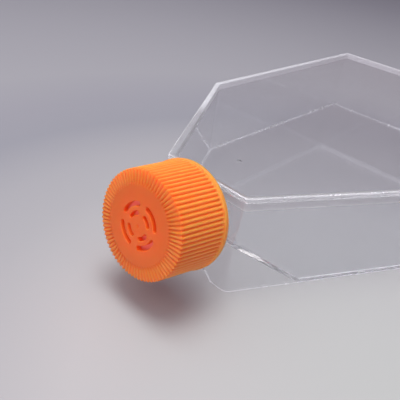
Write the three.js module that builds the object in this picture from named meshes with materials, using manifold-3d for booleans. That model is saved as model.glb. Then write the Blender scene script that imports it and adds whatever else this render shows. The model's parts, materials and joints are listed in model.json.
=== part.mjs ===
// Cell culture flask of the 175 cm2 class: a clear tray-shaped body moulded with its canted, threaded
// neck, a clear top plate welded on, and a ribbed screw cap with vent slots over a membrane insert.
// Millimetres, +Z up, the neck towards -Y. The origin is the middle of the flask's box, on its underside.

import * as THREE from 'three';
import { mergeVertices } from 'three/addons/utils/BufferGeometryUtils.js';
import Module from 'manifold-3d';

const wasm = await Module();
wasm.setup();

// ---------------------------------------------------------------------------------------------
// Driving dimensions
// ---------------------------------------------------------------------------------------------

// Plan of the rim, the flask's widest outline
const BODY_LENGTH = 203.5; // front of the rim to its rear
const BODY_WIDTH = 115;
const FRONT_WIDTH = 33.6; // the flat front that carries the neck
const SHOULDER_LENGTH = 70.5; // along Y, from the front to where the sides run straight
const RIM_CORNER = 1.6;

// Heights and walls
const BODY_HEIGHT = 37;
const WALL = 1.3;
const FLOOR = 1.3;
const PLATE_THICKNESS = 1.7;
const FLANGE_HEIGHT = 2.6; // the body's half of the rim band, under the plate
const RIM_OVERHANG = 0.8; // how far the rim stands proud of the walls
const WALL_DRAFT = 0.5; // how far the walls lean in from the rim to the base
const WALL_CORNER = 3.2;
const BASE_ROUND = 0.8;
const FLOOR_FILLET = 0.8;
const PLATE_ROUND = 0.35;

// Ramp from the growth surface up to the neck
const RAMP_LENGTH = 24.8; // from the front of the rim to the foot of the ramp
const RAMP_DROP = 3.6; // from the neck's axis down to the ramp, at the front of the rim

// Front skirt, below the ramp
const FOOT_FLARE = 2.5; // how much further forward the front's plane is at the base than at the rim
const FOOT_SPREAD = 0.9; // and how much further out its corners are, on each side
const ARCH_WIDTH = 21; // relief in the skirt's lower edge
const ARCH_HEIGHT = 5;

// Neck, measured along its own axis from the plane of the rim's front
const NECK_CANT = 11; // degrees above level
const CROWN_DROP = 0.26; // from the top of the plate down to the neck's crown, at the front of the rim
const NECK_LENGTH = 22.85;
const NECK_RADIUS = 12.7;
const NECK_WALL = 1.8;
const LIP_ROUND = 0.5;
const CROWN_CLEARANCE = 0.15; // from the neck's crown to the front of the plate

// Screw thread, right-handed, with one start
const THREAD_PITCH = 4;
const THREAD_HEIGHT = 1.1;
const THREAD_ROOT = 1.7; // axial width where the ridge leaves the wall
const THREAD_CREST = 0.8;
const THREAD_CLEARANCE = 0.3;
const NECK_THREAD_TURNS = 1.6;
const NECK_THREAD_TOP = 2.4; // from the lip down to the middle of the ridge's upper end
const CAP_THREAD_TURNS = 1.25;
const RUN_OUT = 0.08; // turns over which a ridge grows from nothing at each end

// Cap
const CAP_LENGTH = 19.3;
const CAP_TOP = 1.8;
const CAP_WALL = 1.85; // from the bore to the bottom of the rib grooves, where the shoulder meets the skirt
const RIB_COUNT = 75;
const RIB_DEPTH = 0.55;
const SHOULDER_WIDTH = 4.8; // from the plain flat face out to the skirt
const SHOULDER_DROP = 0.6; // from the face down to the skirt
const SKIRT_TAPER = 0.85; // how much further out the skirt is at the collar than at the shoulder
const COLLAR_PROUD = 0.4; // of the ribs
const COLLAR_HEIGHT = 1.7;
const COLLAR_ROUND = 0.35;
const MOUTH_FLARE = 1.5; // how much wider the mouth is than the bore
const MOUTH_DEPTH = 4.5;
const SNAP_BEAD = 0.4; // how far the bead under the insert stands in from the bore
const SNAP_BEAD_WIDTH = 0.8;

// Vent slots through the cap's face: two rings of arcs, in line with each other
const VENT_RINGS = [
  { radius: 6.5, width: 1.4, span: 68 },
  { radius: 3.8, width: 1.2, span: 60 },
];
const VENTS_PER_RING = 4;
const VENT_START = 45; // degrees to the middle of the first arc

// Seal insert and membrane
const SEAT_GAP = 0.3; // between pieces that rest on each other along the neck's axis
const INSERT_THICKNESS = 2;
const INSERT_CLEARANCE = 0.3; // to the cap's bore and the neck's bore
const PLUG_DEPTH = 2;
const PLUG_WALL = 1.2;
const INSERT_LEDGE = 0.8; // how far the insert stands in from its plug, round the opening
const MEMBRANE_SEAT = 1; // how far the membrane runs over the edge of the opening
const MEMBRANE_THICKNESS = 0.2;
const MEMBRANE_RECESS = 1.1;

// Gate marks left by the moulds
const GATE_RADIUS = 1.6;
const GATE_DEPTH = 0.3;
const GATE_SETBACK = 17; // of the plate's gate, behind the front of the rim

// Facets
const CORNER_SEGMENTS = 6;
const ROUND_SEGMENTS = 60;
const THREAD_SEGMENTS = 30; // to a turn

// ---------------------------------------------------------------------------------------------
// Solids
// ---------------------------------------------------------------------------------------------

const rad = THREE.MathUtils.degToRad;
const PAST = 1; // how far a cutting solid runs past the face that it opens

function solid(geometry) {
  const bare = geometry.clone();
  bare.deleteAttribute('normal');
  bare.deleteAttribute('uv');
  const merged = mergeVertices(bare, 1e-4);
  return new wasm.Manifold(new wasm.Mesh({
    numProp: 3,
    vertProperties: new Float32Array(merged.attributes.position.array),
    triVerts: new Uint32Array(merged.index.array),
  }));
}

function geometryOf(body) {
  const mesh = body.getMesh();
  const geometry = new THREE.BufferGeometry();
  geometry.setAttribute('position', new THREE.BufferAttribute(new Float32Array(mesh.vertProperties), 3));
  geometry.setIndex(new THREE.BufferAttribute(new Uint32Array(mesh.triVerts), 1));
  geometry.computeVertexNormals();
  return geometry;
}

// A closed skin over rings that each have the same number of points, counter-clockwise seen from the last ring
function loft(rings) {
  const count = rings[0].length;
  const points = rings.flat();
  const triangles = [];
  for (let ring = 0; ring + 1 < rings.length; ring++) {
    for (let i = 0; i < count; i++) {
      const a = ring * count + i;
      const b = ring * count + (i + 1) % count;
      triangles.push(a, b, b + count, a, b + count, a + count);
    }
  }
  const last = (rings.length - 1) * count;
  for (let i = 1; i + 1 < count; i++) {
    triangles.push(0, i + 1, i, last, last + i, last + i + 1);
  }
  const geometry = new THREE.BufferGeometry();
  geometry.setAttribute('position', new THREE.Float32BufferAttribute(points.flatMap((p) => p.toArray()), 3));
  geometry.setIndex(triangles);
  return geometry;
}

// A solid of revolution about +Z from [radius, height] pairs
function revolve(profile, segments = ROUND_SEGMENTS) {
  const points = profile.map(([radius, height]) => new THREE.Vector2(radius, height));
  return new THREE.LatheGeometry(points, segments).rotateX(Math.PI / 2);
}

// A shape drawn in the plane of Y and Z, extruded both ways along X
function extrudeAcross(outline, width) {
  const shape = new THREE.Shape(outline.map(([y, z]) => new THREE.Vector2(y, z)));
  return new THREE.ExtrudeGeometry(shape, { depth: width, bevelEnabled: false })
    .translate(0, 0, -width / 2)
    .applyMatrix4(new THREE.Matrix4().makeBasis(
      new THREE.Vector3(0, 1, 0), new THREE.Vector3(0, 0, 1), new THREE.Vector3(1, 0, 0)));
}

// ---------------------------------------------------------------------------------------------
// Plan outline: a flat front, two shoulders, straight sides and a straight rear
// ---------------------------------------------------------------------------------------------

// Below the rim, the front and its two corners spread steadily towards the base
function planAt(height) {
  const spread = Math.max(0, 1 - height / wallTop);
  const cornerX = FRONT_WIDTH / 2 + FOOT_SPREAD * spread;
  const cornerY = -FOOT_FLARE * spread;
  return [
    [cornerX, cornerY],
    [BODY_WIDTH / 2, SHOULDER_LENGTH],
    [BODY_WIDTH / 2, BODY_LENGTH],
    [-BODY_WIDTH / 2, BODY_LENGTH],
    [-BODY_WIDTH / 2, SHOULDER_LENGTH],
    [-cornerX, cornerY],
  ].map(([x, y]) => new THREE.Vector2(x, y));
}

function inwardNormal(from, to) {
  const along = to.clone().sub(from).normalize();
  return new THREE.Vector2(-along.y, along.x);
}

// Where two edges of the plan meet once both have moved inwards by a distance
function insetCorner(corner, normalBefore, normalAfter, distance) {
  const middle = normalBefore.clone().add(normalAfter).normalize();
  return corner.clone().addScaledVector(middle, distance / middle.dot(normalBefore));
}

// The plan moved inwards, with rounded corners, as a ring of points at one height
function planRing(inset, cornerRadius, height) {
  const ring = [];
  const plan = planAt(height);
  plan.forEach((corner, i) => {
    const before = inwardNormal(plan.at(i - 1), corner);
    const after = inwardNormal(corner, plan[(i + 1) % plan.length]);
    const centre = insetCorner(corner, before, after, inset + cornerRadius);
    const start = Math.atan2(-before.y, -before.x);
    const sweep = Math.acos(THREE.MathUtils.clamp(before.dot(after), -1, 1));
    for (let k = 0; k <= CORNER_SEGMENTS; k++) {
      const angle = start + sweep * k / CORNER_SEGMENTS;
      ring.push(new THREE.Vector3(
        centre.x + cornerRadius * Math.cos(angle), centre.y + cornerRadius * Math.sin(angle), height));
    }
  });
  return ring;
}

const landHeight = BODY_HEIGHT - PLATE_THICKNESS; // the flat land that the plate is welded to
const wallTop = landHeight - FLANGE_HEIGHT;
const wallInset = (height) => RIM_OVERHANG + WALL_DRAFT * (1 - Math.min(height, wallTop) / wallTop);
const innerCorner = WALL_CORNER - WALL;
const wallRing = (height, extra = 0) => planRing(wallInset(height) + extra, WALL_CORNER, height);
const cavityRing = (height, extra = 0) => planRing(wallInset(height) + WALL + extra, innerCorner, height);

// ---------------------------------------------------------------------------------------------
// Neck frame: local +Z runs out along the neck, and local +Y leans back from straight up
// ---------------------------------------------------------------------------------------------

const neckHeight = BODY_HEIGHT - CROWN_DROP - NECK_RADIUS / Math.cos(rad(NECK_CANT));

const neckFrame = new THREE.Group();
neckFrame.position.set(0, 0, neckHeight);
neckFrame.rotation.x = Math.PI / 2 - rad(NECK_CANT);
neckFrame.updateMatrix();
const onNeck = (geometry) => geometry.applyMatrix4(neckFrame.matrix);

const boreRadius = NECK_RADIUS - NECK_WALL;

// A helical ridge. `wall` is the radius that it stands on, and `reach` is positive outwards.
function threadRidge({ wall, reach, turns, top }) {
  const steps = Math.round(turns * THREAD_SEGMENTS);
  const sunk = wall - Math.sign(reach) * THREAD_CLEARANCE;
  const rings = [];
  for (let i = 0; i <= steps; i++) {
    const turned = turns * i / steps;
    const grown = Math.min(1, turned / RUN_OUT, (turns - turned) / RUN_OUT);
    const crest = wall + reach * Math.max(grown, 0.02);
    const middle = top - THREAD_PITCH * (turns - turned);
    const angle = 2 * Math.PI * (turned - turns);
    const section = [
      [sunk, -THREAD_ROOT / 2], [crest, -THREAD_CREST / 2], [crest, THREAD_CREST / 2], [sunk, THREAD_ROOT / 2],
    ];
    const ring = section.map(([radius, rise]) => new THREE.Vector3(
      radius * Math.cos(angle), radius * Math.sin(angle), middle + rise));
    rings.push(reach > 0 ? ring.reverse() : ring);
  }
  return loft(rings);
}

// ---------------------------------------------------------------------------------------------
// Flask body: tray, ramp, rim flange, neck and thread in one moulding
// ---------------------------------------------------------------------------------------------

const rampTop = neckHeight - RAMP_DROP;
const rampSlope = (rampTop - FLOOR) / RAMP_LENGTH;
const rampHeight = (y) => rampTop - rampSlope * y;
const rampSkin = WALL * Math.hypot(1, rampSlope); // the ramp's wall, measured upright

// Everything below the ramp's upper face, lowered by a depth
function underRamp(depth) {
  const foot = (rampTop + PAST - depth) / rampSlope;
  return solid(extrudeAcross([
    [-PAST, -PAST], [foot, -PAST], [-PAST, rampHeight(-PAST) - depth],
  ], BODY_WIDTH));
}

function trayOutside() {
  return solid(loft([
    wallRing(0, BASE_ROUND),
    wallRing(BASE_ROUND * 0.3, BASE_ROUND * 0.3),
    wallRing(BASE_ROUND),
    wallRing(wallTop),
    planRing(0, RIM_CORNER, wallTop),
    planRing(0, RIM_CORNER, landHeight),
  ]));
}

function trayInside() {
  return solid(loft([
    cavityRing(FLOOR, FLOOR_FILLET),
    cavityRing(FLOOR + FLOOR_FILLET * 0.3, FLOOR_FILLET * 0.3),
    cavityRing(FLOOR + FLOOR_FILLET),
    cavityRing(wallTop),
    cavityRing(landHeight + PAST),
  ])).subtract(underRamp(0));
}

// The open space under the ramp, bounded by the skirt and by the underside of the neck's channel
function spaceUnderRamp() {
  const withinSkirt = solid(loft([cavityRing(-PAST), cavityRing(0), cavityRing(wallTop)]));
  const channel = solid(onNeck(revolve([
    [0, -RAMP_LENGTH], [NECK_RADIUS, -RAMP_LENGTH], [NECK_RADIUS, 0], [0, 0],
  ])));
  return withinSkirt.intersect(underRamp(rampSkin)).subtract(channel);
}

// The relief in the lower edge of the front skirt
function skirtArch() {
  const half = ARCH_WIDTH / 2;
  const radius = (half * half + ARCH_HEIGHT * ARCH_HEIGHT) / (2 * ARCH_HEIGHT);
  const depth = FOOT_FLARE + wallInset(0) + WALL + 2 * PAST;
  return solid(new THREE.CylinderGeometry(radius, radius, depth, ROUND_SEGMENTS)
    .translate(0, depth / 2 - FOOT_FLARE - PAST, ARCH_HEIGHT - radius));
}

// The tube runs on inwards, below the ramp's face, as the wall of the channel that leads to the neck
function neckTube() {
  const tube = solid(onNeck(revolve([
    [0, -RAMP_LENGTH],
    [NECK_RADIUS, -RAMP_LENGTH],
    [NECK_RADIUS, NECK_LENGTH - LIP_ROUND],
    [NECK_RADIUS - LIP_ROUND * 0.3, NECK_LENGTH - LIP_ROUND * 0.3],
    [NECK_RADIUS - LIP_ROUND, NECK_LENGTH],
    [0, NECK_LENGTH],
  ])));
  const overPlate = solid(new THREE.BoxGeometry(2 * NECK_RADIUS, BODY_LENGTH, BODY_HEIGHT)
    .translate(0, BODY_LENGTH / 2 - CROWN_CLEARANCE, landHeight + BODY_HEIGHT / 2));
  return tube.subtract(overPlate);
}

function neckBore() {
  return solid(onNeck(revolve([
    [0, -RAMP_LENGTH],
    [boreRadius, -RAMP_LENGTH],
    [boreRadius, NECK_LENGTH - LIP_ROUND],
    [boreRadius + LIP_ROUND, NECK_LENGTH],
    [boreRadius + LIP_ROUND, NECK_LENGTH + PAST],
    [0, NECK_LENGTH + PAST],
  ])));
}

function flaskBody() {
  const thread = solid(onNeck(threadRidge({
    wall: NECK_RADIUS,
    reach: THREAD_HEIGHT,
    turns: NECK_THREAD_TURNS,
    top: NECK_LENGTH - NECK_THREAD_TOP,
  })));
  return geometryOf(trayOutside()
    .add(neckTube())
    .subtract(trayInside())
    .subtract(spaceUnderRamp())
    .subtract(skirtArch())
    .subtract(neckBore())
    .add(thread));
}

// ---------------------------------------------------------------------------------------------
// Top plate, welded to the flange, with the mark of its gate
// ---------------------------------------------------------------------------------------------

function topPlate() {
  const plate = solid(loft([
    planRing(0, RIM_CORNER, landHeight),
    planRing(0, RIM_CORNER, BODY_HEIGHT - PLATE_ROUND),
    planRing(PLATE_ROUND * 0.3, RIM_CORNER - PLATE_ROUND * 0.3, BODY_HEIGHT - PLATE_ROUND * 0.3),
    planRing(PLATE_ROUND, RIM_CORNER - PLATE_ROUND, BODY_HEIGHT),
  ]));
  const gate = solid(gateDimple(GATE_RADIUS).translate(0, GATE_SETBACK, BODY_HEIGHT));
  return geometryOf(plate.subtract(gate));
}

// A shallow dished recess in a face at Z = 0
function gateDimple(radius) {
  return revolve([
    [0, -GATE_DEPTH], [radius * 0.6, -GATE_DEPTH * 0.8], [radius, 0], [radius, PAST], [0, PAST],
  ], ROUND_SEGMENTS / 3);
}

// ---------------------------------------------------------------------------------------------
// Cap stack, in the neck frame: insert on the lip, membrane in the insert, cap over both
// ---------------------------------------------------------------------------------------------

const insertBottom = NECK_LENGTH + SEAT_GAP;
const insertTop = insertBottom + INSERT_THICKNESS;
const capCeiling = insertTop + SEAT_GAP;
const capFace = capCeiling + CAP_TOP;
const capMouth = capFace - CAP_LENGTH;
const capBore = NECK_RADIUS + THREAD_HEIGHT + THREAD_CLEARANCE;
const capEdge = capBore + CAP_WALL + RIB_DEPTH; // over the ribs, where the shoulder meets the skirt
const skirtFoot = capEdge + SKIRT_TAPER;
const collarRadius = skirtFoot + COLLAR_PROUD;

// Share of the pitch, and share of the rib's depth
const RIB_SECTION = [[0, 0], [0.24, 0.84], [0.5, 1], [0.76, 0.84]];

// One ring round the cap, with the bottom of a groove and the flank, crest and flank of a rib to each pitch
function ribbedRing([ridgeRadius, ridgeHeight], [grooveRadius, grooveHeight] = [ridgeRadius, ridgeHeight]) {
  const ring = [];
  for (let i = 0; i < RIB_COUNT; i++) {
    for (const [share, rise] of RIB_SECTION) {
      const angle = 2 * Math.PI * (i + share) / RIB_COUNT;
      const radius = THREE.MathUtils.lerp(grooveRadius, ridgeRadius, rise);
      const height = THREE.MathUtils.lerp(grooveHeight, ridgeHeight, rise);
      ring.push(new THREE.Vector3(radius * Math.cos(angle), radius * Math.sin(angle), height));
    }
  }
  return ring;
}

// The shoulder is nearly flat and rolls over into the skirt. The grooves reach their full depth early along it.
function shoulderRing(share) {
  const angle = share * Math.PI / 2;
  const radius = capEdge - SHOULDER_WIDTH * (1 - Math.sin(angle));
  const height = capFace - SHOULDER_DROP * (1 - Math.cos(angle));
  const depth = RIB_DEPTH * Math.min(1, 5 * share);
  return ribbedRing(
    [radius, height],
    [radius - depth * Math.sin(angle), height - depth * Math.cos(angle)],
  );
}

function capOutside() {
  const collarTop = capMouth + COLLAR_HEIGHT;
  return solid(loft([
    ribbedRing([collarRadius - COLLAR_ROUND, capMouth]),
    ribbedRing([collarRadius, capMouth + COLLAR_ROUND]),
    ribbedRing([collarRadius, collarTop]),
    ribbedRing([skirtFoot, collarTop + COLLAR_ROUND], [skirtFoot - RIB_DEPTH, collarTop + COLLAR_ROUND]),
    shoulderRing(1),
    shoulderRing(0.7),
    shoulderRing(0.2),
    shoulderRing(0),
  ]));
}

function capInside() {
  const mouthRadius = capBore + MOUTH_FLARE;
  const beadTop = insertBottom - SEAT_GAP;
  const beadRadius = capBore - SNAP_BEAD;
  return solid(revolve([
    [0, capMouth - PAST],
    [mouthRadius, capMouth - PAST],
    [mouthRadius, capMouth + COLLAR_HEIGHT],
    [capBore, capMouth + MOUTH_DEPTH],
    [capBore, beadTop - 1.5 * SNAP_BEAD_WIDTH],
    [beadRadius, beadTop - SNAP_BEAD_WIDTH],
    [beadRadius, beadTop - SNAP_BEAD_WIDTH / 2],
    [capBore, beadTop],
    [capBore, capCeiling],
    [0, capCeiling],
  ]));
}

// An arc slot with round ends
function ventSlot({ radius, width, span }, middle) {
  const half = rad(span) / 2 - width / 2 / radius; // to the centres of the round ends
  const shape = new THREE.Shape();
  shape.absarc(0, 0, radius + width / 2, middle - half, middle + half, false);
  shape.absarc(radius * Math.cos(middle + half), radius * Math.sin(middle + half), width / 2,
    middle + half, middle + half + Math.PI, false);
  shape.absarc(0, 0, radius - width / 2, middle + half, middle - half, true);
  shape.absarc(radius * Math.cos(middle - half), radius * Math.sin(middle - half), width / 2,
    middle - half + Math.PI, middle - half + 2 * Math.PI, false);
  return new THREE.ExtrudeGeometry(shape, { depth: CAP_TOP + 2 * PAST, bevelEnabled: false, curveSegments: 8 })
    .translate(0, 0, capCeiling - PAST);
}

function capShell() {
  const loadFlank = (THREAD_ROOT + THREAD_CREST) / 2 + THREAD_CLEARANCE; // ridge to ridge, along the axis
  const thread = solid(threadRidge({
    wall: capBore,
    reach: -THREAD_HEIGHT,
    turns: CAP_THREAD_TURNS,
    top: NECK_LENGTH - NECK_THREAD_TOP - loadFlank,
  }));
  let shell = capOutside().subtract(capInside()).add(thread);
  for (const ring of VENT_RINGS) {
    for (let i = 0; i < VENTS_PER_RING; i++) {
      const middle = rad(VENT_START) + 2 * Math.PI * i / VENTS_PER_RING;
      shell = shell.subtract(solid(ventSlot(ring, middle)));
    }
  }
  return geometryOf(shell.subtract(solid(gateDimple(GATE_RADIUS / 2).translate(0, 0, capFace))));
}

const plugRadius = boreRadius - INSERT_CLEARANCE;
const insertOpening = plugRadius - PLUG_WALL - INSERT_LEDGE;
const membraneRadius = insertOpening + MEMBRANE_SEAT;

function sealInsert() {
  const rim = capBore - INSERT_CLEARANCE;
  const recess = membraneRadius + INSERT_CLEARANCE;
  const seat = insertTop - MEMBRANE_RECESS;
  return revolve([
    [insertOpening, seat],
    [insertOpening, insertBottom],
    [plugRadius - PLUG_WALL, insertBottom - PLUG_DEPTH / 2],
    [plugRadius - PLUG_WALL, insertBottom - PLUG_DEPTH],
    [plugRadius - PLUG_WALL / 2, insertBottom - PLUG_DEPTH],
    [plugRadius, insertBottom - PLUG_DEPTH / 2],
    [plugRadius, insertBottom],
    [rim, insertBottom],
    [rim, insertTop],
    [recess, insertTop],
    [recess, seat],
    [insertOpening, seat],
  ]);
}

function ventMembrane() {
  const bottom = insertTop - MEMBRANE_RECESS + SEAT_GAP;
  return revolve([
    [0, bottom], [membraneRadius, bottom], [membraneRadius, bottom + MEMBRANE_THICKNESS],
    [0, bottom + MEMBRANE_THICKNESS],
  ]);
}

// ---------------------------------------------------------------------------------------------
// Materials and assembly
// ---------------------------------------------------------------------------------------------

const clearStyrene = { color: 0xe6ebf0, roughness: 0.06, metalness: 0, transparent: true, opacity: 0.3 };
const orangeMoulding = { color: 0xe56a2c, roughness: 0.5, metalness: 0 };
const softNatural = { color: 0xe9e6dd, roughness: 0.6, metalness: 0 };
const porousWhite = { color: 0xf4f4f2, roughness: 0.95, metalness: 0 };

function part(name, geometry, look) {
  const mesh = new THREE.Mesh(geometry, new THREE.MeshStandardMaterial(look));
  mesh.name = name;
  return mesh;
}

neckFrame.add(
  part('cap_shell', capShell(), orangeMoulding),
  part('seal_insert', sealInsert(), softNatural),
  part('vent_membrane', ventMembrane(), porousWhite),
);

const flask = new THREE.Group();
flask.add(
  part('flask_body', flaskBody(), clearStyrene),
  part('top_plate', topPlate(), clearStyrene),
  neckFrame,
);

// Put the origin in the middle of the whole flask's box, on its underside
const box = new THREE.Box3().setFromObject(flask, true);
const middle = box.getCenter(new THREE.Vector3());
flask.position.set(-middle.x, -middle.y, -box.min.z);

export default flask;
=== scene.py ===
"""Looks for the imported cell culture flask: a clear body, a welded top plate and an orange vented cap.

Metres, +Z up, the neck towards -Y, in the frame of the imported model. The cap's own form is drawn in
the neck's frame: local +Z runs out along the neck, from the point given for the joint cap_turn.
"""

import json
import math

import bmesh
import bpy
from mathutils import Matrix, Vector


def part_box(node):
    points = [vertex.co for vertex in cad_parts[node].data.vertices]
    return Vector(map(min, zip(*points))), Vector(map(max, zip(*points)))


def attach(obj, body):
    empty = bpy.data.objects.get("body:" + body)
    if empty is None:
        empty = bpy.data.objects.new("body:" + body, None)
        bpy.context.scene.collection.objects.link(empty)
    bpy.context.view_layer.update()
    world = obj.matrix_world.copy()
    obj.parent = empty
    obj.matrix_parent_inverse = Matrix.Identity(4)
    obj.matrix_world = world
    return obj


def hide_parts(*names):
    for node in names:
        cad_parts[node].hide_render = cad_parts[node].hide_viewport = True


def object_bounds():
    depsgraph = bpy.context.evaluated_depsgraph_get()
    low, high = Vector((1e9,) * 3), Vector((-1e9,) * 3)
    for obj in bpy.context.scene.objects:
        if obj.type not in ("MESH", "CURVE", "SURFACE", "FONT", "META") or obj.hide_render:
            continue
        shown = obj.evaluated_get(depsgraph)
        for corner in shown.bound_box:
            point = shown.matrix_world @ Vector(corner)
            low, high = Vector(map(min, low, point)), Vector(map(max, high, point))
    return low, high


MM = 0.001
TAU = 2 * math.pi

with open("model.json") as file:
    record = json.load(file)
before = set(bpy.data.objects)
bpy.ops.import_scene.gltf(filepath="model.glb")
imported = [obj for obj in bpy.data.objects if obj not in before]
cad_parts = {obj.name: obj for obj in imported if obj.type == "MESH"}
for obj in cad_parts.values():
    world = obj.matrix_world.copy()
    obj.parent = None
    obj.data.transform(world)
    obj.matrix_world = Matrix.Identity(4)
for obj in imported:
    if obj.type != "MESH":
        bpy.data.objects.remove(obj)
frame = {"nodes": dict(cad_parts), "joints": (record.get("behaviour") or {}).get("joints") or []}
cad_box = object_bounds()
plate_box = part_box("top_plate")
turn = next(j for j in frame["joints"] if j["name"] == "cap_turn")

# --------------------------------------------------------------------------------------------------
# Sizes
# --------------------------------------------------------------------------------------------------

ROUND_STEPS = 4  # steps over a small rounded corner's quarter turn

# The cap's ribs
RIB_COUNT = 75
RIB_DEPTH = 0.55 * MM
RIB_STEPS = 8  # points round one rib
RIB_FULLNESS = 3.0  # higher makes the grooves narrower

# The cap's shoulder, which rolls from the flat face into the skirt over a quarter turn
SHOULDER_WIDTH = 4.8 * MM
SHOULDER_DROP = 0.6 * MM
SHOULDER_SHARES = (0, 0.02, 0.05, 0.09, 0.14, *(0.2 + 0.8 * i / 10 for i in range(11)))  # of the turn
RIB_RUN_IN = 0.2  # share of the shoulder over which its ribs reach their full depth

# The cap's skirt and collar
SKIRT_TAPER = 0.85 * MM
SKIRT_SHARES = (0.2, 0.4, 0.6, 0.8, 0.97)  # of the way from the shoulder to the collar
COLLAR_PROUD = 0.4 * MM
COLLAR_HEIGHT = 1.7 * MM
COLLAR_ROUND = 0.35 * MM
RIB_RUN_OUT = (0.25, 0.5, 0.4)  # shares of the three lengths COLLAR_PROUD, COLLAR_ROUND and RIB_DEPTH

# The inside of the cap
CAP_TOP = 1.8 * MM
CAP_WALL = 1.85 * MM
CEILING_CHAMFER = 0.4 * MM
MOUTH_FLARE = 1.5 * MM
MOUTH_DEPTH = 4.5 * MM
MOUTH_CHAMFER = 0.2 * MM

# The vent slots and the gate mark in the cap's face
VENT_RINGS = ((6.5 * MM, 1.4 * MM, 68), (3.8 * MM, 1.2 * MM, 60))  # radius, width, degrees
VENTS_PER_RING = 4
VENT_START = 45  # degrees
VENT_ROUND = 0.25 * MM  # on the slots' outer edges
VENT_STEPS = 24  # along a slot
VENT_END_STEPS = 12  # round the end of a slot
GATE_RADIUS = 0.8 * MM
GATE_DEPTH = 0.3 * MM
GATE_PROFILE = ((0.1, 1.0), (0.6, 0.8), (1.0, 0.0), (1.8, -1.0))  # shares of the radius and the depth
GATE_STEPS = 32
CUT_MARGIN = 1.0 * MM  # how far a cutter reaches past what it cuts
CAP_SHARP = 38  # degrees, for shading

# Rounding that the moulds leave on the clear pieces' edges
MOULD_EDGE = 0.3 * MM
BASE_EDGE = 0.7 * MM  # round the base, outside and in
BASE_BAND = 3.0 * MM  # height of the band where that is used
EDGE_SEGMENTS = 3
EDGE_ANGLE = math.radians(40)  # edges sharper than this are rounded
FACET_ANGLE = math.radians(0.6)  # facets that meet flatter than this are joined
JOIN_DISTANCE = 0.002 * MM
MOULD_SHARP = 32  # degrees, for shading

# The rim with its weld
WELD_GAP = 0.02 * MM  # keeps the plate's faces and the body's apart
RIM_STRIP = 4.0 * MM  # the rim's own faces are narrower than this
RIM_HEIGHT = 3.0 * MM  # how far below the plate they may reach
RIM_LAND = 50 * MM * MM  # the welded land's faces are larger than this

# The upward share of a face's normal
UPRIGHT = 0.2  # an upright face has less, up or down
LEVEL = 0.99  # a level face has more, up or down
SLOPING = (0.2, 0.95)
LOOKING_DOWN = -0.3  # a rounded edge that looks down has less

# The clear pieces' materials, in the order of their slots
CLEAR, EDGE, RIM, LOW_EDGE = range(4)

# Where haze changes from its near to its far value: a slant, and a range of slant * y - x. This is
# painted light placed by side: the rim is painted milky white on its side away from the camera as a
# painted highlight, and the low edges' painted highlight fades out on that side.
FAR_RIM_PAINTED_HIGHLIGHT = (1.0, -14 * MM, 4 * MM)
LOW_EDGE_PAINTED_HIGHLIGHT_FADE = (0.0, -20 * MM, 20 * MM)

# Where the cap's colour changes, with the painted shade and painted highlight on its ribs
RIBS_START = (5.6 * MM, 4.4 * MM)  # inwards from the collar's radius
# Over this length the crests turn from a paler painted highlight on the skirt to a redder painted shade
# on the shoulder
SHOULDER_SHADE_FADE = 2.0 * MM  # along the top of the skirt
# Over this length above the collar the grooves' painted shade fades in
COLLAR_FADE = 0.4 * MM

# The bench
FLOOR_GAP = 0.15 * MM  # air between the flask's base and the bench
BENCH_HALF = 3.0  # from its middle to each side
# The bench's colour is painted light: a pool of light round this point that falls off with distance
BENCH_PAINTED_LIGHT_CENTRE = (0.075, -0.08, 0.0)
BENCH_PAINTED_LIGHT_STOPS = (  # distance from there, colour
    (0.05, (173, 177, 179)),
    (0.09, (173, 174, 179)),
    (0.13, (158, 159, 166)),
    (0.155, (153, 154, 162)),
    (0.19, (138, 140, 151)),
    (0.22, (141, 142, 153)),
    (0.27, (148, 149, 158)),
    (0.48, (142, 143, 153)),
    (0.80, (136, 137, 149)),
)

# Lamps: name, place, aim, size, watts, colour, and whether shiny and clear pieces show its image
LAMPS = (
    ("key", (-0.04, -0.12, 0.95), (0.02, -0.08, 0), (0.45, 0.45), 6.8, (1.0, 0.99, 0.93), False),
    ("overhead", (-0.1, -0.3, 1.0), (0, -0.1, 0), (1.6, 1.6), 7.2, (1.0, 0.985, 0.96), True),
    ("fill", (0.45, -1.25, 0.3), (0, -0.1, 0.02), (1.0, 0.6), 4.3, (1.0, 0.76, 0.82), False),
)
ROOM_COLOUR = (216, 202, 214)
ROOM_STRENGTH = 0.42

# Camera
CAMERA_PLACE = (0.07856, -0.18810, 0.10827)
CAMERA_AZIMUTH = math.radians(38.027)
CAMERA_ELEVATION = math.radians(32.192)
CAMERA_ROLL = math.radians(9.281)
CAMERA_LENS = 42.332
CAMERA_SENSOR = 36
CAMERA_NEAREST = 0.005

WALL_BOUNCES = 96  # light runs along inside the clear walls
CLEAR_LAYERS = 32  # faces that a straight ray may pass through


# --------------------------------------------------------------------------------------------------
# Neck frame
# --------------------------------------------------------------------------------------------------

NECK_AXIS = Vector(turn["axis"]).normalized()
ACROSS = Vector((1, 0, 0))
NECK_TURN = Matrix((ACROSS, NECK_AXIS.cross(ACROSS), NECK_AXIS)).transposed().to_4x4()
NECK = Matrix.Translation(turn["pos_m"]) @ NECK_TURN


def cap_extents():
    """The heights of the cap's mouth and face along the neck, and the radius of its collar."""
    inverse = NECK.inverted()
    points = [inverse @ v.co for v in frame["nodes"]["cap_shell"].data.vertices]
    heights = [p.z for p in points]
    return min(heights), max(heights), max(p.xy.length for p in points)


# --------------------------------------------------------------------------------------------------
# Mesh building
# --------------------------------------------------------------------------------------------------


def new_object(name, data):
    obj = bpy.data.objects.new(name, data)
    bpy.context.scene.collection.objects.link(obj)
    return obj


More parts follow.
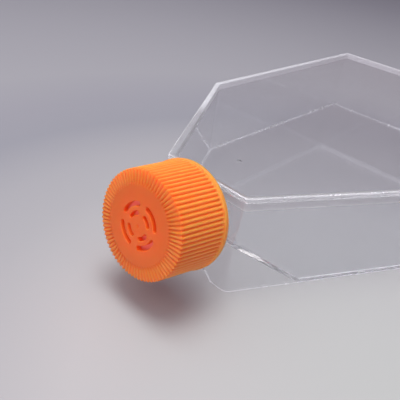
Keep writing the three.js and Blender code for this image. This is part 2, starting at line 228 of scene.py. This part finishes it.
def skin(name, rings):
    """A closed mesh over rings with the same number of points each, with a flat face at each end."""
    count = len(rings[0])
    points = [p for ring in rings for p in ring]
    faces = []
    for row in range(len(rings) - 1):
        for i in range(count):
            a, b = row * count + i, row * count + (i + 1) % count
            faces.append((a, b, b + count, a + count))
    last = (len(rings) - 1) * count
    faces.append(tuple(reversed(range(count))))
    faces.append(tuple(range(last, last + count)))
    mesh = bpy.data.meshes.new(name)
    mesh.from_pydata(points, [], faces)
    mesh.update()
    return new_object(name, mesh)


def arc(radius, start, sweep, steps, centre=(0.0, 0.0)):
    """Points along an arc about a centre, in even steps, with both its ends."""
    angles = [start + sweep * i / steps for i in range(steps + 1)]
    return [(centre[0] + radius * math.cos(a), centre[1] + radius * math.sin(a)) for a in angles]


def rounded_corner(size):
    """How far a rounded corner falls back from its two sides, in steps over its quarter turn."""
    angles = [math.pi / 2 * i / ROUND_STEPS for i in range(ROUND_STEPS + 1)]
    return [(size * (1 - math.cos(a)), size * (1 - math.sin(a))) for a in angles]


def apply_modifiers(obj):
    """Bakes the object's modifiers into its mesh."""
    graph = bpy.context.evaluated_depsgraph_get()
    mesh = bpy.data.meshes.new_from_object(obj.evaluated_get(graph))
    obj.modifiers.clear()
    obj.data = mesh


def smooth(obj, degrees):
    """Smooth shading in which large faces stay flat and edges sharper than an angle are kept."""
    obj.data.polygons.foreach_set("use_smooth", [True] * len(obj.data.polygons))
    obj.data.set_sharp_from_angle(angle=math.radians(degrees))
    weighted = obj.modifiers.new("weighted", "WEIGHTED_NORMAL")
    weighted.mode = "FACE_AREA"
    weighted.weight = 100
    weighted.keep_sharp = True
    apply_modifiers(obj)


# --------------------------------------------------------------------------------------------------
# Clear pieces
# --------------------------------------------------------------------------------------------------


def join_facets(obj):
    """Joins the flat facets of a CAD mesh, and gives each sharp edge its share of the rounding."""
    mesh = bmesh.new()
    mesh.from_mesh(obj.data)
    bmesh.ops.remove_doubles(mesh, verts=mesh.verts, dist=JOIN_DISTANCE)
    bmesh.ops.dissolve_limit(mesh, angle_limit=FACET_ANGLE, verts=mesh.verts, edges=mesh.edges)
    weight = mesh.edges.layers.float.new("bevel_weight_edge")
    for line in mesh.edges:
        if len(line.link_faces) == 2 and line.calc_face_angle() > EDGE_ANGLE:
            low = max(v.co.z for v in line.verts) < BASE_BAND
            line[weight] = 1.0 if low else MOULD_EDGE / BASE_EDGE
    mesh.to_mesh(obj.data)
    mesh.free()


def round_edges(obj):
    """Rounds each edge by its share, and gives the new faces the edges' material."""
    bevel = obj.modifiers.new("round", "BEVEL")
    bevel.width = BASE_EDGE
    bevel.segments = EDGE_SEGMENTS
    bevel.limit_method = "WEIGHT"
    bevel.use_clamp_overlap = True
    bevel.material = EDGE
    apply_modifiers(obj)


def strip_width(mesh, face):
    """The width of a face that is a long narrow strip, and half the width of a square one."""
    corners = [mesh.vertices[i].co for i in face.vertices]
    around = sum((a - b).length for a, b in zip(corners, corners[1:] + corners[:1]))
    return 2 * face.area / around


def is_rim(mesh, face):
    """Whether a face is one of the narrow ones round the rim: an upright side or the welded land."""
    low = plate_box[0]
    upright = abs(face.normal.z) < UPRIGHT
    land = abs(face.normal.z) > LEVEL and face.area > RIM_LAND
    return ((upright or land) and strip_width(mesh, face) < RIM_STRIP and face.center.y > low.y - MM
            and min(mesh.vertices[i].co.z for i in face.vertices) > low.z - RIM_HEIGHT)


def is_low_edge(face):
    """Whether a face is a rounded edge that looks down, or slopes near the base, as a chamfer does."""
    looks_down = face.material_index == EDGE and face.normal.z < LOOKING_DOWN
    slopes = SLOPING[0] < abs(face.normal.z) < SLOPING[1]
    return looks_down or (face.center.z < BASE_BAND and slopes)


def moulded_copy(node, name, materials, lift=0.0):
    """A copy of a clear CAD node with its flat facets joined and its sharp edges rounded."""
    obj = new_object(name, frame["nodes"][node].data.copy())
    obj.data.transform(Matrix.Translation((0, 0, lift)))
    obj.data.materials.clear()
    for material in materials:
        obj.data.materials.append(material)
    join_facets(obj)
    round_edges(obj)
    for face in obj.data.polygons:
        if face.material_index == CLEAR and is_rim(obj.data, face):
            face.material_index = RIM
        elif is_low_edge(face):
            face.material_index = LOW_EDGE
    smooth(obj, MOULD_SHARP)
    return obj


# --------------------------------------------------------------------------------------------------
# Node materials
# --------------------------------------------------------------------------------------------------


def srgb(red, green, blue):
    """Linear RGBA from 0-255 display values."""
    def linear(value):
        value /= 255
        return value / 12.92 if value <= 0.04045 else ((value + 0.055) / 1.055) ** 2.4

    return (linear(red), linear(green), linear(blue), 1.0)


class Nodes:
    """A material and short ways to add nodes to it. Inputs take a value or another node's output."""

    def __init__(self, name):
        self.material = bpy.data.materials.new(name)
        self.material.use_nodes = True
        self.tree = self.material.node_tree
        self.tree.nodes.clear()
        self.output = self.add("ShaderNodeOutputMaterial")
        self.place = self.add("ShaderNodeTexCoord").outputs["Object"]

    def add(self, kind, **settings):
        node = self.tree.nodes.new(kind)
        for key, value in settings.items():
            setattr(node, key, value)
        return node

    def put(self, value, socket):
        if isinstance(value, bpy.types.NodeSocket):
            self.tree.links.new(value, socket)
        else:
            socket.default_value = value

    def fill(self, node, **inputs):
        for key, value in inputs.items():
            self.put(value, node.inputs[key.replace("_", " ")])
        return node

    def finish(self, shader):
        self.put(shader, self.output.inputs["Surface"])
        return self.material

    def noise(self, scale, detail):
        """Soft noise with about this many features to a metre."""
        node = self.add("ShaderNodeTexNoise")
        return self.fill(node, Vector=self.place, Scale=scale, Detail=detail).outputs["Fac"]

    def spread(self, source, low, high, start=0.35, end=0.65):
        """Maps start-end to low-high and holds both ends. Noise lies mostly in the range given."""
        node = self.add("ShaderNodeMapRange")
        self.fill(node, Value=source, From_Min=start, From_Max=end, To_Min=low, To_Max=high)
        return node.outputs["Result"]

    def maths(self, operation, *values):
        node = self.add("ShaderNodeMath", operation=operation)
        for value, socket in zip(values, node.inputs):
            self.put(value, socket)
        return node.outputs["Value"]

    def axes(self, vector):
        node = self.fill(self.add("ShaderNodeSeparateXYZ"), Vector=vector)
        return [node.outputs[axis] for axis in "XYZ"]

    def blend(self, factor, first, second):
        node = self.fill(self.add("ShaderNodeMix", data_type="RGBA"), Factor=factor)
        for name, colour in (("A", first), ("B", second)):
            self.put(colour, next(i for i in node.inputs if i.name == name and i.type == "RGBA"))
        return next(o for o in node.outputs if o.type == "RGBA")

    def mixed(self, factor, first, second):
        """The first shader where the factor is 0, and the second where it is 1."""
        node = self.add("ShaderNodeMixShader")
        for value, socket in zip((factor, first, second), node.inputs):
            self.put(value, socket)
        return node.outputs["Shader"]

    def bump(self, height, distance, strength=1.0):
        node = self.add("ShaderNodeBump")
        return self.fill(node, Height=height, Distance=distance, Strength=strength).outputs["Normal"]

    def principled(self, **inputs):
        return self.fill(self.add("ShaderNodeBsdfPrincipled"), **inputs).outputs["BSDF"]


def clear_styrene(name, roughness, haze, painted_glow=0.0, far_haze=None, painted_highlight_ramp=None):
    """Clear polystyrene, with the faint flow marks of its mould. Lamps shine through it.

    The haze is the share of light that scatters instead of passing through, as it does along moulded
    edges. The emission is painted light that stands for light which the clear walls carry to an edge and
    let out there: a painted highlight. Where a far haze is given, the haze turns into it over the ramp
    given with it, which paints a highlight on one side.
    """
    n = Nodes(name)
    clear = n.principled(
        Base_Color=n.blend(n.noise(9, 3), srgb(248, 250, 251), srgb(251, 252, 253)),
        Roughness=n.spread(n.noise(160, 3), 0.85 * roughness, 1.15 * roughness),
        Normal=n.bump(n.noise(26, 2), 0.02 * MM, 0.6),
        IOR=1.59,
        Transmission_Weight=1.0,
    )
    white = srgb(240, 243, 250)
    # The scattering part carries an emission: a painted highlight, light with no lamp behind it
    milky_with_painted_glow = n.principled(Base_Color=white, Roughness=0.6, Emission_Color=white, Emission_Strength=painted_glow)
    haze_and_painted_glow = n.spread(n.noise(60, 3), 0.85 * haze, 1.15 * haze)
    # Placed by side, the haze and with it the emission move towards the far value: painted highlight
    if far_haze is not None:
        slant, start, end = painted_highlight_ramp
        x, y, _ = n.axes(n.place)
        across = n.maths("SUBTRACT", n.maths("MULTIPLY", y, slant), x)
        haze_and_painted_glow = n.maths("ADD", haze_and_painted_glow, n.spread(across, 0.0, far_haze - haze, start, end))
    # Shadow and diffuse rays go straight through, as refracted paths to a lamp are rarely found
    straight = n.fill(n.add("ShaderNodeBsdfTransparent"), Color=srgb(247, 247, 248)).outputs["BSDF"]
    rays = n.add("ShaderNodeLightPath").outputs
    goes_straight = n.maths("MAXIMUM", rays["Is Shadow Ray"], rays["Is Diffuse Ray"])
    return n.finish(n.mixed(goes_straight, n.mixed(haze_and_painted_glow, clear, milky_with_painted_glow), straight))


def orange_moulding():
    """Satin orange polyolefin: light scatters under its skin. The ribs' colours are painted light:
    grooves darker and redder as painted shade, crests paler and yellower on the skirt as a painted
    highlight, and redder towards the shoulder as painted shade.
    """
    n = Nodes("orange_cap")
    mouth, face, collar = cap_extents()
    skirt_top = face - SHOULDER_DROP
    collar_top = mouth + COLLAR_HEIGHT
    neck = n.add("ShaderNodeMapping", vector_type="TEXTURE")
    n.fill(neck, Vector=n.place, Location=NECK.to_translation(), Rotation=NECK.to_euler())
    x, y, along = n.axes(neck.outputs["Vector"])
    # Painted shade: the grooves between the ribs are painted darker and redder than the crests, above
    # the collar
    turned = n.maths("MULTIPLY", n.maths("ARCTAN2", y, x), RIB_COUNT / 2)
    groove = n.maths("POWER", n.maths("ABSOLUTE", n.maths("COSINE", turned)), RIB_FULLNESS)
    radius = n.maths("SQRT", n.maths("ADD", n.maths("POWER", x, 2.0), n.maths("POWER", y, 2.0)))
    ribbed = n.spread(radius, 0, 1, *(collar - inset for inset in RIBS_START))
    above_collar = n.spread(along, 0, 1, collar_top, collar_top + COLLAR_FADE)
    shoulder_painted_shade = n.spread(along, 0, 1, skirt_top - SHOULDER_SHADE_FADE, skirt_top)
    flat = n.blend(n.noise(55, 4), srgb(255, 106, 36), srgb(255, 113, 41))
    # Painted highlight on the skirt's crests, turning into painted shade towards the shoulder
    crest = n.blend(shoulder_painted_shade, srgb(255, 152, 66), srgb(255, 136, 56))
    ribs = n.blend(n.maths("MULTIPLY", groove, above_collar), crest, srgb(255, 119, 47))
    return n.finish(n.principled(
        Base_Color=n.blend(ribbed, flat, ribs),
        Roughness=n.spread(n.noise(900, 2), 0.38, 0.5),
        Normal=n.bump(n.noise(5200, 2), 0.015 * MM, 0.5),
        Specular_IOR_Level=0.5,
        Subsurface_Weight=0.85,
        Subsurface_Scale=7.0 * MM,
        Subsurface_Radius=(1.0, 0.12, 0.05),
    ))


def natural_seal():
    """Soft uncoloured polyethylene."""
    n = Nodes("natural_seal")
    return n.finish(n.principled(
        Base_Color=n.blend(n.noise(140, 3), srgb(226, 222, 210), srgb(236, 233, 224)),
        Roughness=n.spread(n.noise(600, 2), 0.5, 0.65),
        Subsurface_Weight=0.3,
        Subsurface_Scale=1.0 * MM,
    ))


def white_membrane():
    """Porous white film, its colour painted pinkish orange with a faint emission: painted light that
    stands for the orange light coming through the cap.
    """
    n = Nodes("white_membrane")
    return n.finish(n.principled(
        Base_Color=n.blend(n.noise(4000, 4), srgb(240, 140, 124), srgb(246, 152, 136)),
        Roughness=0.95,
        Normal=n.bump(n.noise(6000, 3), 0.02 * MM),
        # Painted light: an emission, though the film is no lamp
        Emission_Color=srgb(255, 120, 96),
        Emission_Strength=0.16,
    ))


def bench():
    """Matt laminate bench. Its colour is painted light: palest in a pool in front of the flask and
    greyer away from there, as the light falls off, with a darker band near 0.19 m.
    """
    n = Nodes("bench")
    away = n.add("ShaderNodeVectorMath", operation="DISTANCE")
    for value, socket in zip((n.place, BENCH_PAINTED_LIGHT_CENTRE), away.inputs):
        n.put(value, socket)
    farthest = BENCH_PAINTED_LIGHT_STOPS[-1][0]
    ramp = n.add("ShaderNodeValToRGB")
    n.fill(ramp, Fac=n.spread(away.outputs["Value"], 0, 1, 0, farthest))
    stops = ramp.color_ramp.elements
    for distance, _ in BENCH_PAINTED_LIGHT_STOPS[1:-1]:
        stops.new(distance / farthest)
    for stop, (_, colour) in zip(stops, BENCH_PAINTED_LIGHT_STOPS):
        stop.color = srgb(*colour)
    return n.finish(n.principled(
        Base_Color=ramp.outputs["Color"],
        Roughness=0.7,
        Normal=n.bump(n.noise(1400, 3), 0.01 * MM),
    ))


# --------------------------------------------------------------------------------------------------
# Cap
# --------------------------------------------------------------------------------------------------


def rib_rise(share):
    """How far up a rib's section a point is: 0 in the groove and 1 on the crest."""
    return 1 - abs(math.cos(math.pi * share)) ** RIB_FULLNESS


def cap_ring(radius, height, depth=0.0, slope=0.0):
    """One ring round the cap. Grooves of a depth are cut square to a surface that slopes."""
    ring = []
    for i in range(RIB_COUNT * RIB_STEPS):
        fall = depth * (1 - rib_rise(i / RIB_STEPS % 1))
        out = radius - fall * math.cos(slope)
        angle = TAU * i / (RIB_COUNT * RIB_STEPS)
        ring.append((out * math.cos(angle), out * math.sin(angle), height - fall * math.sin(slope)))
    return ring


def cap_rings():
    """Rings from the face down the outside, round the mouth and up the bore to the ceiling."""
    mouth, face, collar = cap_extents()
    skirt = collar - COLLAR_PROUD
    edge = skirt - SKIRT_TAPER
    bore = edge - RIB_DEPTH - CAP_WALL
    collar_top = mouth + COLLAR_HEIGHT
    rings = []
    for share in SHOULDER_SHARES:
        angle = math.pi / 2 * share
        inset = SHOULDER_WIDTH * (1 - math.sin(angle))
        height = face - SHOULDER_DROP * (1 - math.cos(angle))
        depth = RIB_DEPTH * min(1, (1 - inset / SHOULDER_WIDTH) / RIB_RUN_IN)
        rings.append(cap_ring(edge - inset, height, depth, math.pi / 2 - angle))
    for share in SKIRT_SHARES:
        height = face - SHOULDER_DROP + share * (collar_top + COLLAR_ROUND - face + SHOULDER_DROP)
        rings.append(cap_ring(edge + SKIRT_TAPER * share, height, RIB_DEPTH))
    out, up, depth = RIB_RUN_OUT
    rings.append(cap_ring(skirt, collar_top + COLLAR_ROUND, RIB_DEPTH))
    rings.append(cap_ring(skirt + out * COLLAR_PROUD, collar_top + up * COLLAR_ROUND, depth * RIB_DEPTH))
    corner = rounded_corner(COLLAR_ROUND)
    rings += [cap_ring(collar - inset, collar_top - fall) for inset, fall in reversed(corner)]
    rings += [cap_ring(collar - inset, mouth + fall) for inset, fall in corner]
    inside = (
        (bore + MOUTH_FLARE + MOUTH_CHAMFER, mouth),
        (bore + MOUTH_FLARE, mouth + MOUTH_CHAMFER),
        (bore + MOUTH_FLARE, collar_top),
        (bore, mouth + MOUTH_DEPTH),
        (bore, face - CAP_TOP - CEILING_CHAMFER),
        (bore - CEILING_CHAMFER, face - CAP_TOP),
    )
    return rings + [cap_ring(radius, height) for radius, height in inside]


def slot_outline(radius, width, span, middle, grow):
    """Points round an arc slot with round ends, which is grown outwards by a distance."""
    half = math.radians(span) / 2 - width / 2 / radius
    reach = width / 2 + grow
    first, last = middle - half, middle + half
    first_end, last_end = ((radius * math.cos(a), radius * math.sin(a)) for a in (first, last))
    return (arc(radius + reach, first, 2 * half, VENT_STEPS)
            + arc(reach, last, math.pi, VENT_END_STEPS, last_end)[1:-1]
            + arc(radius - reach, last, -2 * half, VENT_STEPS)
            + arc(reach, first + math.pi, math.pi, VENT_END_STEPS, first_end)[1:-1])


def face_cutters(face):
    """Solids that cut the vent slots, with rounded outer edges, and the gate mark."""
    levels = [(face - CAP_TOP - CUT_MARGIN, 0.0)]
    levels += [(face - fall, grow) for grow, fall in rounded_corner(VENT_ROUND)]
    levels.append((face + CUT_MARGIN, VENT_ROUND + CUT_MARGIN))
    cutters = []
    for vent_ring in VENT_RINGS:
        for i in range(VENTS_PER_RING):
            middle = math.radians(VENT_START) + TAU * i / VENTS_PER_RING
            rings = [[(x, y, z) for x, y in slot_outline(*vent_ring, middle, grow)]
                     for z, grow in levels]
            cutters.append(skin("vent_cutter", rings))
    gate = [[(x, y, face - GATE_DEPTH * depth)
             for x, y in arc(GATE_RADIUS * share, 0, TAU, GATE_STEPS)[:-1]]
            for share, depth in GATE_PROFILE]
    cutters.append(skin("gate_cutter", gate))
    return cutters


def build_cap():
    cap = skin("cap", cap_rings())
    _, face, _ = cap_extents()
    cutters = face_cutters(face)
    bpy.context.view_layer.update()
    for cutter in cutters:
        cut = cap.modifiers.new("cut", "BOOLEAN")
        cut.operation = "DIFFERENCE"
        cut.solver = "EXACT"
        cut.object = cutter
    apply_modifiers(cap)
    for cutter in cutters:
        bpy.data.objects.remove(cutter)
    cap.data.transform(NECK)
    cap.data.materials.clear()
    cap.data.materials.append(orange_moulding())
    smooth(cap, CAP_SHARP)
    return cap


# --------------------------------------------------------------------------------------------------
# Stage, light and camera
# --------------------------------------------------------------------------------------------------


def build_bench():
    z = cad_box[0].z - FLOOR_GAP
    corners = [(x * BENCH_HALF, y * BENCH_HALF, z) for x, y in ((-1, -1), (1, -1), (1, 1), (-1, 1))]
    mesh = bpy.data.meshes.new("bench")
    mesh.from_pydata(corners, [], [(0, 1, 2, 3)])
    obj = new_object("bench", mesh)
    obj.data.materials.append(bench())


def light_scene():
    for name, place, target, size, watts, colour, mirrored in LAMPS:
        data = bpy.data.lights.new(name, "AREA")
        data.shape = "RECTANGLE"
        data.size, data.size_y = size
        data.energy = watts
        data.color = colour
        lamp = new_object(name, data)
        lamp.location = place
        lamp.rotation_euler = (Vector(target) - lamp.location).to_track_quat("-Z", "Y").to_euler()
        lamp.visible_glossy = mirrored
        lamp.visible_transmission = mirrored
    world = bpy.data.worlds.new("room")
    world.use_nodes = True
    background = world.node_tree.nodes["Background"]
    background.inputs["Color"].default_value = srgb(*ROOM_COLOUR)
    background.inputs["Strength"].default_value = ROOM_STRENGTH
    bpy.context.scene.world = world


def place_camera():
    """A camera that looks down and to the left at the cap, with the flask running out of view."""
    forward = Vector((-math.sin(CAMERA_AZIMUTH) * math.cos(CAMERA_ELEVATION),
                      math.cos(CAMERA_AZIMUTH) * math.cos(CAMERA_ELEVATION),
                      -math.sin(CAMERA_ELEVATION)))
    level = forward.cross(Vector((0, 0, 1))).normalized()
    upright = level.cross(forward)
    right = math.cos(CAMERA_ROLL) * level + math.sin(CAMERA_ROLL) * upright
    up = -math.sin(CAMERA_ROLL) * level + math.cos(CAMERA_ROLL) * upright
    data = bpy.data.cameras.new("camera")
    data.lens = CAMERA_LENS
    data.sensor_width = CAMERA_SENSOR
    data.clip_start = CAMERA_NEAREST
    obj = new_object("camera", data)
    aim = Matrix((right, up, -forward)).transposed().to_4x4()
    obj.matrix_world = Matrix.Translation(CAMERA_PLACE) @ aim
    bpy.context.scene.camera = obj


# --------------------------------------------------------------------------------------------------
# Assembly
# --------------------------------------------------------------------------------------------------


def finish_piece(obj, body, slot, *nodes):
    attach(obj, body)
    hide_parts(*nodes)


def dress_node(node, material):
    for slot in frame["nodes"][node].material_slots:
        slot.material = material


scene = bpy.context.scene
scene.view_settings.view_transform = "Standard"
scene.cycles.max_bounces = WALL_BOUNCES
scene.cycles.transmission_bounces = WALL_BOUNCES
scene.cycles.glossy_bounces = WALL_BOUNCES
scene.cycles.transparent_max_bounces = CLEAR_LAYERS

place_camera()
light_scene()
build_bench()

# The rounded edges, the rim and the low edges carry painted highlights, an emission with no lamp behind
# it; the rim is painted whiter on its far side, and the low edges' painted highlight fades out there
styrene = (
    clear_styrene("clear_styrene", roughness=0.02, haze=0.02),
    clear_styrene("clear_styrene_edge", roughness=0.25, haze=0.4, painted_glow=0.24),
    clear_styrene("clear_styrene_rim", roughness=0.5, haze=0.1, painted_glow=0.13,
                  far_haze=0.7, painted_highlight_ramp=FAR_RIM_PAINTED_HIGHLIGHT),
    clear_styrene("clear_styrene_low_edge", roughness=0.25, haze=0.5, painted_glow=0.38,
                  far_haze=0.14, painted_highlight_ramp=LOW_EDGE_PAINTED_HIGHLIGHT_FADE),
)
body = moulded_copy("flask_body", "body", styrene)
plate = moulded_copy("top_plate", "plate", styrene, lift=WELD_GAP)
finish_piece(body, "flask", "clear_styrene", "flask_body")
finish_piece(plate, "flask", "clear_styrene", "top_plate")
finish_piece(build_cap(), "cap", "orange_cap", "cap_shell")
dress_node("seal_insert", natural_seal())
dress_node("vent_membrane", white_membrane())
